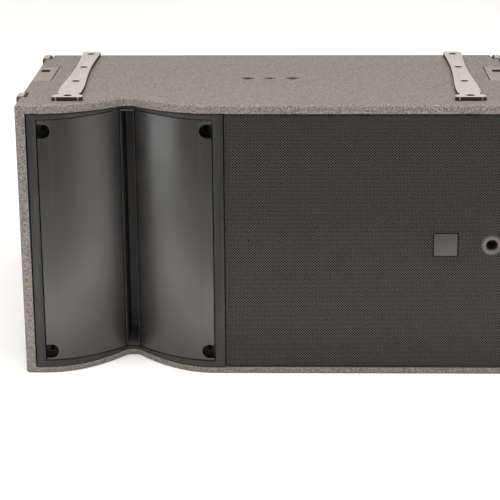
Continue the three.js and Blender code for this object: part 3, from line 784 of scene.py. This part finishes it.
def make_grille_rim():
    """The folded rim, and the washer that lines the sheet's hole for the collar."""
    low, high = face_box("grille")
    rim = GRILLE_RIM
    hollow_back = 50 * MM
    hollow = rectangle(low.x + rim, high.x - rim, -CUT_DEPTH, hollow_back)
    blank = prism(rectangle(low.x, high.x, low.y, high.y), floor, ceiling)
    window = prism(hollow, lambda y: floor(y) + rim, lambda y: ceiling(y) - rim)
    mesh = soften(carve(blank, window), 0.3 * MM, 2, 50)
    collar = middle_of("grille_collar")
    top, bottom = low.y + 0.1 * MM, low.y + SHEET_THICKNESS - 0.1 * MM
    seat = [(SEAT_INNER, top), (SEAT_OUTER, top), (SEAT_OUTER, bottom), (SEAT_INNER, bottom)]
    washer = turned(seat, (collar.x, 0, collar.z))

    def in_washer(polygon):
        return int((polygon.center - collar).xz.length < SEAT_OUTER + MM)

    looks = [LOOKS["black_coat"], LOOKS["grille"]]
    mesh = joined(mesh, washer)
    add_piece("grille_rim", mesh, looks, "cabinet", ["grille"], choose=in_washer)


def make_grille_sheet():
    low, high = face_box("grille")
    collar = middle_of("grille_collar")
    rows = int((high.z - low.z - GRILLE_RIM) / HALF_PITCH)
    columns = int((high.x - low.x - GRILLE_RIM) / HALF_PITCH)
    corner = ((low.x + high.x - columns * HALF_PITCH) / 2, (low.z + high.z - rows * HALF_PITCH) / 2)
    keep_out = (collar.x, collar.z, SEAT_INNER + HALF_PITCH)
    front = low.y + 0.05 * MM
    back = front + SHEET_THICKNESS
    for strip in range(GRILLE_STRIPS):
        start = 1 + (columns - 1) * strip // GRILLE_STRIPS
        end = 1 + (columns - 1) * (strip + 1) // GRILLE_STRIPS
        mesh = perforated_strip((start, end), rows, corner, front, back, keep_out)
        name = f"grille_sheet_{strip + 1}"
        add_piece(name, mesh, [LOOKS["grille"]], "cabinet", ["grille"], crease=30)


def drop_loose_points(mesh):
    work = bmesh.new()
    work.from_mesh(mesh)
    loose = [v for v in work.verts if not v.link_faces]
    bmesh.ops.delete(work, geom=loose, context="VERTS")
    work.to_mesh(mesh)
    work.free()


def make_cloth():
    """The cloth behind the grille, slightly wavy, with a round hole for the collar."""
    low, high = face_box("grille_cloth")
    collar = middle_of("grille_collar")
    clear = COLLAR_RADIUS + 0.6 * MM
    middle_y = (low.y + high.y) / 2
    wave_height = 0.2 * MM
    steps_x, steps_z = 96, 90
    points, faces = [], []
    for j in range(steps_z + 1):
        for i in range(steps_x + 1):
            x = low.x + (high.x - low.x) * i / steps_x
            z = low.z + (high.z - low.z) * j / steps_z
            away = Vector((x - collar.x, z - collar.z))
            if away.length < clear:
                away = away.normalized() * clear
                x, z = collar.x + away.x, collar.z + away.y
            wave = wave_height * math.sin(41 * x + 3 * z) * math.sin(37 * z)
            points.append((x, middle_y + wave, z))
    for j in range(steps_z):
        for i in range(steps_x):
            a = j * (steps_x + 1) + i
            quad = (a, a + 1, a + steps_x + 2, a + steps_x + 1)
            centre = sum((Vector(points[k]) for k in quad), Vector()) / 4
            if math.hypot(centre.x - collar.x, centre.z - collar.z) > clear:
                faces.append(quad)
    mesh = new_mesh("cloth", points, faces)
    drop_loose_points(mesh)
    cloth = add_piece("grille_lining", mesh, [LOOKS["cloth"]], "cabinet", ["grille_cloth"])


def make_badge():
    low, high = face_box("badge_plate")
    plate = soften(box_of(low, high), 0.5 * MM, 3)
    add_piece("badge_face", plate, [LOOKS["badge"]], "cabinet", ["badge_plate"])
    # A pad round the badge, near-black as painted shade in the gap round its edge.
    border = 1.7 * MM
    grille_front = face_box("grille")[0].y
    x0, x1, z0, z1 = low.x - border, high.x + border, low.z - border, high.z + border
    pad = soften(box(x0, x1, high.y, grille_front, z0, z1), 0.1 * MM, 1)
    add_piece("badge_shade_border", pad, [LOOKS["painted_shade_black"]], "cabinet")


def make_collar():
    """A ring with a rounded lip and, deep in it, the seat of the grille's screw, coloured dark as painted
    shade.
    """
    low, high = face_box("grille_collar")
    centre = ((low.x + high.x) / 2, 0, (low.z + high.z) / 2)
    lip = 1.4 * MM
    seat = high.y - 4 * MM
    screw_hole = 3.4 * MM
    steps = 6
    wall = (COLLAR_RADIUS - COLLAR_BORE) / 2
    profile = [(screw_hole, seat), (COLLAR_BORE, seat)]
    for i in range(steps + 1):
        angle = math.pi * i / steps
        radius = COLLAR_BORE + wall - wall * math.cos(angle)
        profile.append((radius, low.y + lip - lip * math.sin(angle)))
    profile += [(COLLAR_RADIUS, high.y), (screw_hole, high.y)]

    # The seat deep in the bore takes the dark moulding as painted shade.
    def in_shaded_seat(polygon):
        return int(polygon.center.y > seat - MM)

    mesh = turned(profile, centre)
    looks = [LOOKS["collar"], LOOKS["dark_moulding"]]
    add_piece("collar_ring", mesh, looks, "cabinet", ["grille_collar"], choose=in_shaded_seat)


# ---- Cabinet ----


def side_notches():
    """What the rails and the rigging housings take out of the panels, on both sides."""
    clearance = 2 * MM
    cutters = []
    for place in ("front", "rear"):
        low, high = face_box(f"left_{place}_rail")
        y0, y1 = low.y - clearance, high.y + clearance
        cutters.append(box(low.x - CUT_DEPTH, high.x + clearance, y0, y1, -CUT_OUT, CUT_OUT))
    low, high = face_box("left_rig_housing")
    start = low.x - CUT_DEPTH
    reach = -HALF_WIDTH + 31.8 * MM
    skin = -HALF_WIDTH + 5 * MM
    inset_depth = 0.14
    cup_half = 58 * MM
    side_joint, back_joint = 1.3 * MM, 0.8 * MM
    y0, y1 = low.y - FIT_GAP, high.y + FIT_GAP
    for sign in (-1, 1):
        z0, z1 = sorted((sign * inset_depth, sign * CUT_OUT))
        cutters.append(box(skin, reach, y0, y1, z0, z1))
    cutters.append(box(start, reach, y0, y1, -CUT_OUT, floor(y1)))
    cutters.append(box(start, reach + side_joint, y0, y1 + back_joint, ceiling(y1), CUT_OUT))
    cutters.append(box(start, reach, y0, y1, -cup_half, cup_half))
    return cutters + [mirrored(cutter) for cutter in cutters]


def rounded_block():
    """The cabinet's outside: well rounded edges, except the tighter ones round the back."""
    spare = 20 * MM
    beyond = 0.5
    end = DEPTH + spare
    back_line = [(HALF_WIDTH, 0), (HALF_WIDTH, end), (-HALF_WIDTH, end), (-HALF_WIDTH, 0)]
    block = prism(notched_front() + back_line, lambda y: -outer(y), outer)
    behind = box(-beyond, beyond, DEPTH, DEPTH + 2 * spare, -beyond, beyond)
    return soften(carve(soften(block, EDGE_RADIUS, 6, 30), behind), 2 * MM, 3, 60)


def connector_cutters():
    """The recess that the connector plate sits in, and the smaller window through the rear panel."""
    low, high = face_box("connector_plate")
    overlap = 10 * MM
    past = 10 * MM
    recess = (FIT_GAP, low.y - FIT_GAP, DEPTH + past)
    window = (-overlap, DEPTH - REAR_WALL - past, DEPTH)
    cutters = []
    for edge, y0, y1 in (recess, window):
        cutters.append(box(low.x - edge, high.x + edge, y0, y1, low.z - edge, high.z + edge))
    return cutters


def pin_holes():
    """The parking hole and the locking hole on each side."""
    parked = middle_of("left_lock_pin")
    locking_y = middle_of("left_link_bar").y
    inner_end = -0.34
    holes = []
    for y, z in ((parked.y, parked.z), (locking_y, parked.z + PIN_HOLE_STEP)):
        holes.append(bar(PIN_HOLE, -CUT_OUT, inner_end, "X", (0, y, z), 32))
    return holes + [mirrored(hole) for hole in holes]


def make_shell():
    """The five painted panels as one skin, cut out for everything set into it."""
    inside = HALF_WIDTH - SIDE_WALL
    start = -0.05
    hollow = prism(rectangle(-inside, inside, start, DEPTH - REAR_WALL), floor, ceiling)
    inserts = [bar(radius + FIT_GAP, CUT_LOW, CUT_HIGH, "Z", (x, INSERT_Y, 0)) for x, radius in INSERTS]
    cutters = [hollow, *side_notches(), *connector_cutters(), *pin_holes(), *inserts]
    mesh = carve(rounded_block(), *cutters)
    nodes = ["top_panel", "bottom_panel", "left_side_panel", "right_side_panel", "rear_panel"]
    add_piece("cabinet_shell", mesh, [LOOKS["paint"]], "cabinet", nodes, crease=28)


# ---- Rigging ----

INSERT_Y = middle_of("top_insert_plate").y
INSERTS = [(-35 * MM, 10.25 * MM), (0, 8.5 * MM), (35 * MM, 10.25 * MM)]
PIN_HOLE = 4.4 * MM
PIN_HOLE_STEP = 25 * MM
STRAP_HOLES = (45 * MM, 160 * MM, 281 * MM, 402 * MM)
STRAP_THICKNESS = 6 * MM


def painted_light_by_facing(limit):
    """Chooses the first look for what faces up and the second for the rest; the lighter top is painted
    light, as lit from above.
    """
    return lambda polygon: 0 if polygon.normal.z > limit else 1


def strap_half():
    """A strap's outline on one side of its middle line, as (half width, depth) from front to back."""
    ear = [(31, 14), (31, 18.8), (31.8, 21), (33.8, 22.8), (37, 23.5), (42, 23), (48, 20.8), (53, 17.2)]
    notch = [(57, 14.6), (59.5, 14.4), (62, 15.6), (64.5, 17.2)]
    waist = [(70, 17.6), (87, 17.9), (104, 18), (130, 17.3), (159, 16), (200, 14.2), (240, 12.8), (280, 12)]
    waist += [(320, 12.3), (365, 13.3), (404, 14.5)]
    end = [(415, 14.8), (420, 14.2), (423, 12.4), (424, 9)]
    return [(width * MM, y * MM) for y, width in ear + notch + waist + end]


def strap_bottom(y):
    return outer(y) + FIT_GAP


def strap_top(y):
    return strap_bottom(y) + STRAP_THICKNESS


def make_strap(side):
    x = middle_of(f"{side}_top_strap").x
    half = strap_half()
    outline = [(x + w, y) for w, y in half] + [(x - w, y) for w, y in reversed(half)]
    plate = prism(outline, strap_bottom, strap_top)
    holes = [bar(6.4 * MM, CUT_LOW, CUT_HIGH, "Z", (x, y, 0), 40) for y in STRAP_HOLES]
    mesh = soften(carve(plate, *holes), 0.7 * MM, 2, 50)
    # Pale top faces: painted reflection of the overhead light.
    looks = [LOOKS["strap_top"], LOOKS["strap_edge"]]
    nodes = [f"{side}_top_strap"]
    name = f"{side}_strap_plate"
    add_piece(name, mesh, looks, "cabinet", nodes, choose=painted_light_by_facing(0.6))
    make_strap_highlight_ribs(side, x, half[0][1])


def make_strap_highlight_ribs(side, x, front):
    """Two thin upright ribs on a strap's front end, in the pale coat as painted highlights on its front
    edges.
    """
    rib_offset = 16.6 * MM
    half_width = 1.1 * MM
    proud = 0.8 * MM
    z0, z1 = strap_bottom(front), strap_top(front)
    ribs = []
    for middle in (x - rib_offset, x + rib_offset):
        rib = box(middle - half_width, middle + half_width, front - proud, front, z0, z1)
        ribs.append(soften(rib, 0.2 * MM, 1))
    # Pale ribs on the dark front: painted highlights.
    add_piece(f"{side}_strap_highlight_ribs", joined(*ribs), [LOOKS["housing"]], "cabinet")


def make_rail(side, place):
    node = f"{side}_{place}_rail"
    low, high = face_box(node)
    outline = rectangle(low.x, high.x, low.y, high.y)
    blank = prism(outline, lambda y: FIT_GAP - outer(y), lambda y: outer(y) + MM)
    mesh = soften(blank, 4.6 * MM, 6, 50)
    # Pale top and black sides: painted light on top, painted shade at the sides.
    looks = [LOOKS["rail_lit_top"], LOOKS["black_coat"]]
    add_piece(f"{node}_bar", mesh, looks, "cabinet", [node], choose=painted_light_by_facing(0.93))


def make_insert_plate():
    """Three bored bosses, flush with the top, on a plate under the top panel."""
    low, high = face_box("top_insert_plate")
    sides = 64
    angles = [2 * math.pi * i / sides for i in range(sides)]
    parts = []
    for x, radius in INSERTS:
        disc = [(x + radius * math.cos(a), INSERT_Y + radius * math.sin(a)) for a in angles]
        boss = soften(prism(disc, lambda y: ceiling(y) - 2 * MM, outer), 0.6 * MM, 2, 50)
        hole = bar(radius / 2, CUT_LOW, CUT_HIGH, "Z", (x, INSERT_Y, 0))
        parts.append(soften(carve(boss, hole), 0.3 * MM, 1, 50))
    outline = rectangle(low.x, high.x, low.y, high.y)
    base = prism(outline, lambda y: ceiling(y) - 4 * MM, lambda y: ceiling(y) - 2.2 * MM)
    parts.append(soften(base, 0.5 * MM, 2))
    looks = [LOOKS["dark_steel"]]
    add_piece("insert_bosses", joined(*parts), looks, "cabinet", ["top_insert_plate"])


def make_housing(side, sign):
    """The CAD casting with its edges rounded; what faces up or outwards has the pale coat, and the faces
    turned down or inwards are painted black as shade.
    """
    node = f"{side}_rig_housing"
    mesh = frame["nodes"][node].data.copy()
    mesh.transform(TO_FACE)
    work = bmesh.new()
    work.from_mesh(mesh)
    bmesh.ops.remove_doubles(work, verts=work.verts, dist=0.002 * MM)
    bmesh.ops.dissolve_limit(work, angle_limit=math.radians(1), verts=work.verts, edges=work.edges)
    work.to_mesh(mesh)
    work.free()
    mesh = combined(soften(mesh, 0.5 * MM, 2, 50), "INTERSECT", [rounded_block()])

    def painted_shade_side(polygon):
        return 0 if polygon.normal.z > 0.5 or sign * polygon.normal.x > 0.5 else 1

    # Faces turned down or inwards: black, as painted shade.
    looks = [LOOKS["housing"], LOOKS["black_coat"]]
    name = f"{side}_housing_casting"
    add_piece(name, mesh, looks, "cabinet", [node], choose=painted_shade_side)


def make_grip(side):
    """A grooved rubber sleeve."""
    node = f"{side}_handle_grip"
    low, high = face_box(node)
    centre = ((low.x + high.x) / 2, 0, (low.z + high.z) / 2)
    radius = (high.x - low.x) / 2
    length = high.y - low.y
    profile = [(0, low.y)]
    rings = 16
    steps = rings * 6
    for i in range(steps + 1):
        along = i / steps
        shoulder = min(1, 0.72 + 3.2 * min(along, 1 - along))
        groove = 1 - 0.05 * (1 + math.cos(2 * math.pi * rings * along)) / 2
        profile.append((radius * shoulder * groove, low.y + length * along))
    profile.append((0, high.y))
    mesh = turned(profile, centre, "Y", 40)
    add_piece(f"{side}_grip_sleeve", mesh, [LOOKS["rubber"]], "cabinet", [node])


def make_link(side):
    """A link bar with its two pin holes."""
    node = f"{side}_link_bar"
    low, high = face_box(node)
    y = (low.y + high.y) / 2
    holes = [bar(PIN_HOLE, -CUT_OUT, CUT_OUT, "X", (0, y, z), 40) for z in (110 * MM, 172 * MM)]
    mesh = soften(carve(box_of(low, high), *holes), 1.0 * MM, 3, 50)
    name = f"{side}_link"
    add_piece(name, mesh, [LOOKS["black_coat"]], name, [node])


def make_pin(side, sign):
    """A locking pin with a scalloped knob, bored for its button."""
    node = f"{side}_lock_pin"
    low, high = face_box(node)
    centre = (0, (low.y + high.y) / 2, (low.z + high.z) / 2)
    outside = (high.y - low.y) / 2
    shaft = 4 * MM
    bore = 2.7 * MM
    face, tip = (low.x, high.x) if sign < 0 else (high.x, low.x)
    inward = -sign
    knob_back = face + inward * 5.2 * MM
    bore_end = face + inward * 9.5 * MM
    lip = inward * 0.9 * MM
    rim = [(bore, face + lip * 0.4), (bore + 0.5 * MM, face), (outside - 1.2 * MM, face)]
    side_wall = [(outside, face + lip), (outside, knob_back - lip), (outside - 0.9 * MM, knob_back)]
    shank = [(shaft, knob_back), (shaft, tip - inward * MM), (shaft - MM, tip), (0, tip)]
    profile = [*rim, *side_wall, *shank, (0, bore_end), (bore, bore_end)]
    knob = turned(profile, centre, "X", 48)
    start, end = sorted((face - inward * MM, knob_back + inward * 0.1 * MM))
    count = 12
    reach = outside * 1.1
    scallops = []
    for i in range(count):
        angle = 2 * math.pi * i / count
        spot = (0, centre[1] + reach * math.cos(angle), centre[2] + reach * math.sin(angle))
        scallops.append(bar(1.9 * MM, start, end, "X", spot, 20))
    name = f"{side}_pin"
    add_piece(name, carve(knob, *scallops), [LOOKS["steel"]], name, [node])


def make_button(side, sign):
    node = f"{side}_pin_button"
    low, high = face_box(node)
    centre = (0, (low.y + high.y) / 2, (low.z + high.z) / 2)
    radius = (high.y - low.y) / 2
    face, back = (low.x, high.x) if sign < 0 else (high.x, low.x)
    inward = -sign
    profile = [
        (0, face), (radius * 0.6, face), (radius * 0.9, face + inward * 0.3 * MM),
        (radius, face + inward * 0.8 * MM), (radius, back), (0, back),
    ]
    mesh = turned(profile, centre, "X", 32)
    name = f"{side}_push_button"
    add_piece(name, mesh, [LOOKS["rubber"]], f"{side}_button", [node])


# ---- Rear and inside ----


def plate_screw(x, y, z):
    """A domed screw head with a hexagonal recess, standing on a plate at depth y."""
    head, top = 3.6 * MM, y + 2 * MM
    profile = [(0, y), (head, y), (3.2 * MM, y + 1.4 * MM), (1.8 * MM, top), (0, top)]
    recess = bar(1.4 * MM, y + 0.9 * MM, y + 4 * MM, "Y", (x, 0, z), 6)
    return carve(turned(profile, (x, 0, z), "Y", 24), recess)


def make_connector_plate():
    low, high = face_box("connector_plate")
    holes = []
    for name in ("in", "out"):
        spot = middle_of(f"connector_{name}")
        holes.append(bar(12.6 * MM, 0.3, 0.5, "Y", (spot.x, 0, spot.z)))
    mesh = soften(carve(box_of(low, high), *holes), 0.5 * MM, 2, 50)
    inset = 7 * MM
    across, up = (low.x + inset, high.x - inset), (low.z + inset, high.z - inset)
    screws = [plate_screw(x, high.y, z) for x in across for z in up]
    name = "connector_dish"
    add_piece(name, mesh, [LOOKS["black_coat"]], "cabinet", ["connector_plate"])
    add_piece(f"{name}_screws", joined(*screws), [LOOKS["steel"]], "cabinet")


def make_connector(name):
    """A round socket with three keyways in a square flange with two screw holes."""
    node = f"connector_{name}"
    low, high = face_box(node)
    x, z = (low.x + high.x) / 2, (low.z + high.z) / 2
    flange_front = high.y - 2 * MM
    open_end = high.y + 0.01
    bore = 9 * MM
    shell = bar(12 * MM, low.y, flange_front + 0.5 * MM, "Y", (x, 0, z), 64)
    flange = soften(box(low.x, high.x, flange_front, high.y, low.z, high.z), 0.6 * MM, 3)
    cutters = [bar(bore, low.y + 6 * MM, open_end, "Y", (x, 0, z))]
    for angle in (0, 2.2, 4.1):
        spot = (x + bore * math.cos(angle), 0, z + bore * math.sin(angle))
        cutters.append(bar(1.6 * MM, low.y + 10 * MM, open_end, "Y", spot, 16))
    corner = 5 * MM
    for hole_x, hole_z in ((low.x + corner, low.z + corner), (high.x - corner, high.z - corner)):
        cutters.append(bar(1.5 * MM, flange_front - MM, open_end, "Y", (hole_x, 0, hole_z), 20))
    mesh = carve(unite(shell, flange), *cutters)
    add_piece(f"{node}_socket", mesh, [LOOKS["dark_moulding"]], "cabinet", [node])


def make_foam():
    """A sheet of foam with a waffled face."""
    low, high = face_box("damping_foam")
    steps_x, steps_z = 80, 96
    height = 9 * MM
    wave_steps = 8
    points, faces = [], []
    row = steps_x + 1
    for layer in (0, 1):
        for j in range(steps_z + 1):
            for i in range(steps_x + 1):
                x = low.x + (high.x - low.x) * i / steps_x
                z = low.z + (high.z - low.z) * j / steps_z
                turn_x, turn_z = 2 * math.pi * i / wave_steps, 2 * math.pi * j / wave_steps
                wave = 1 - math.cos(turn_x) * math.cos(turn_z)
                points.append((x, low.y + height * wave / 2 if layer == 0 else high.y, z))
    layer_size = row * (steps_z + 1)
    for j in range(steps_z):
        for i in range(steps_x):
            a = j * row + i
            faces.append((a, a + 1, a + row + 1, a + row))
            faces.append(tuple(layer_size + k for k in (a, a + row, a + row + 1, a + 1)))
    rim = list(range(row)) + [j * row + steps_x for j in range(1, steps_z + 1)]
    rim += [steps_z * row + i for i in range(steps_x - 1, -1, -1)]
    rim += [j * row for j in range(steps_z - 1, 0, -1)]
    for a, b in zip(rim, rim[1:] + rim[:1], strict=True):
        faces.append((b, a, a + layer_size, b + layer_size))
    mesh = outward(new_mesh("foam", points, faces))
    foam = add_piece("foam_pad", mesh, [LOOKS["foam"]], "cabinet", ["damping_foam"])


# ---- Build ----

make_camera()
make_lights()
make_floor()
dress_cad_nodes()
make_shell()
make_bezel()
make_slot_mesh()
make_grille_rim()
make_grille_sheet()
make_cloth()
make_badge()
make_collar()
# The screws are near-black as painted shade in the collar and in the fins' notches.
make_screw("grille_screw", "painted_shade_black")
for level in ("lower", "upper"):
    for side, _ in SIDES:
        make_screw(f"horn_screw_{side}_{level}", "painted_shade_black")
make_insert_plate()
make_connector_plate()
make_connector("in")
make_connector("out")
make_foam()
for side, sign in SIDES:
    make_fin(side, sign)
    make_strap(side)
    make_rail(side, "front")
    make_rail(side, "rear")
    make_housing(side, sign)
    make_grip(side)
    make_link(side)
    make_pin(side, sign)
    make_button(side, sign)
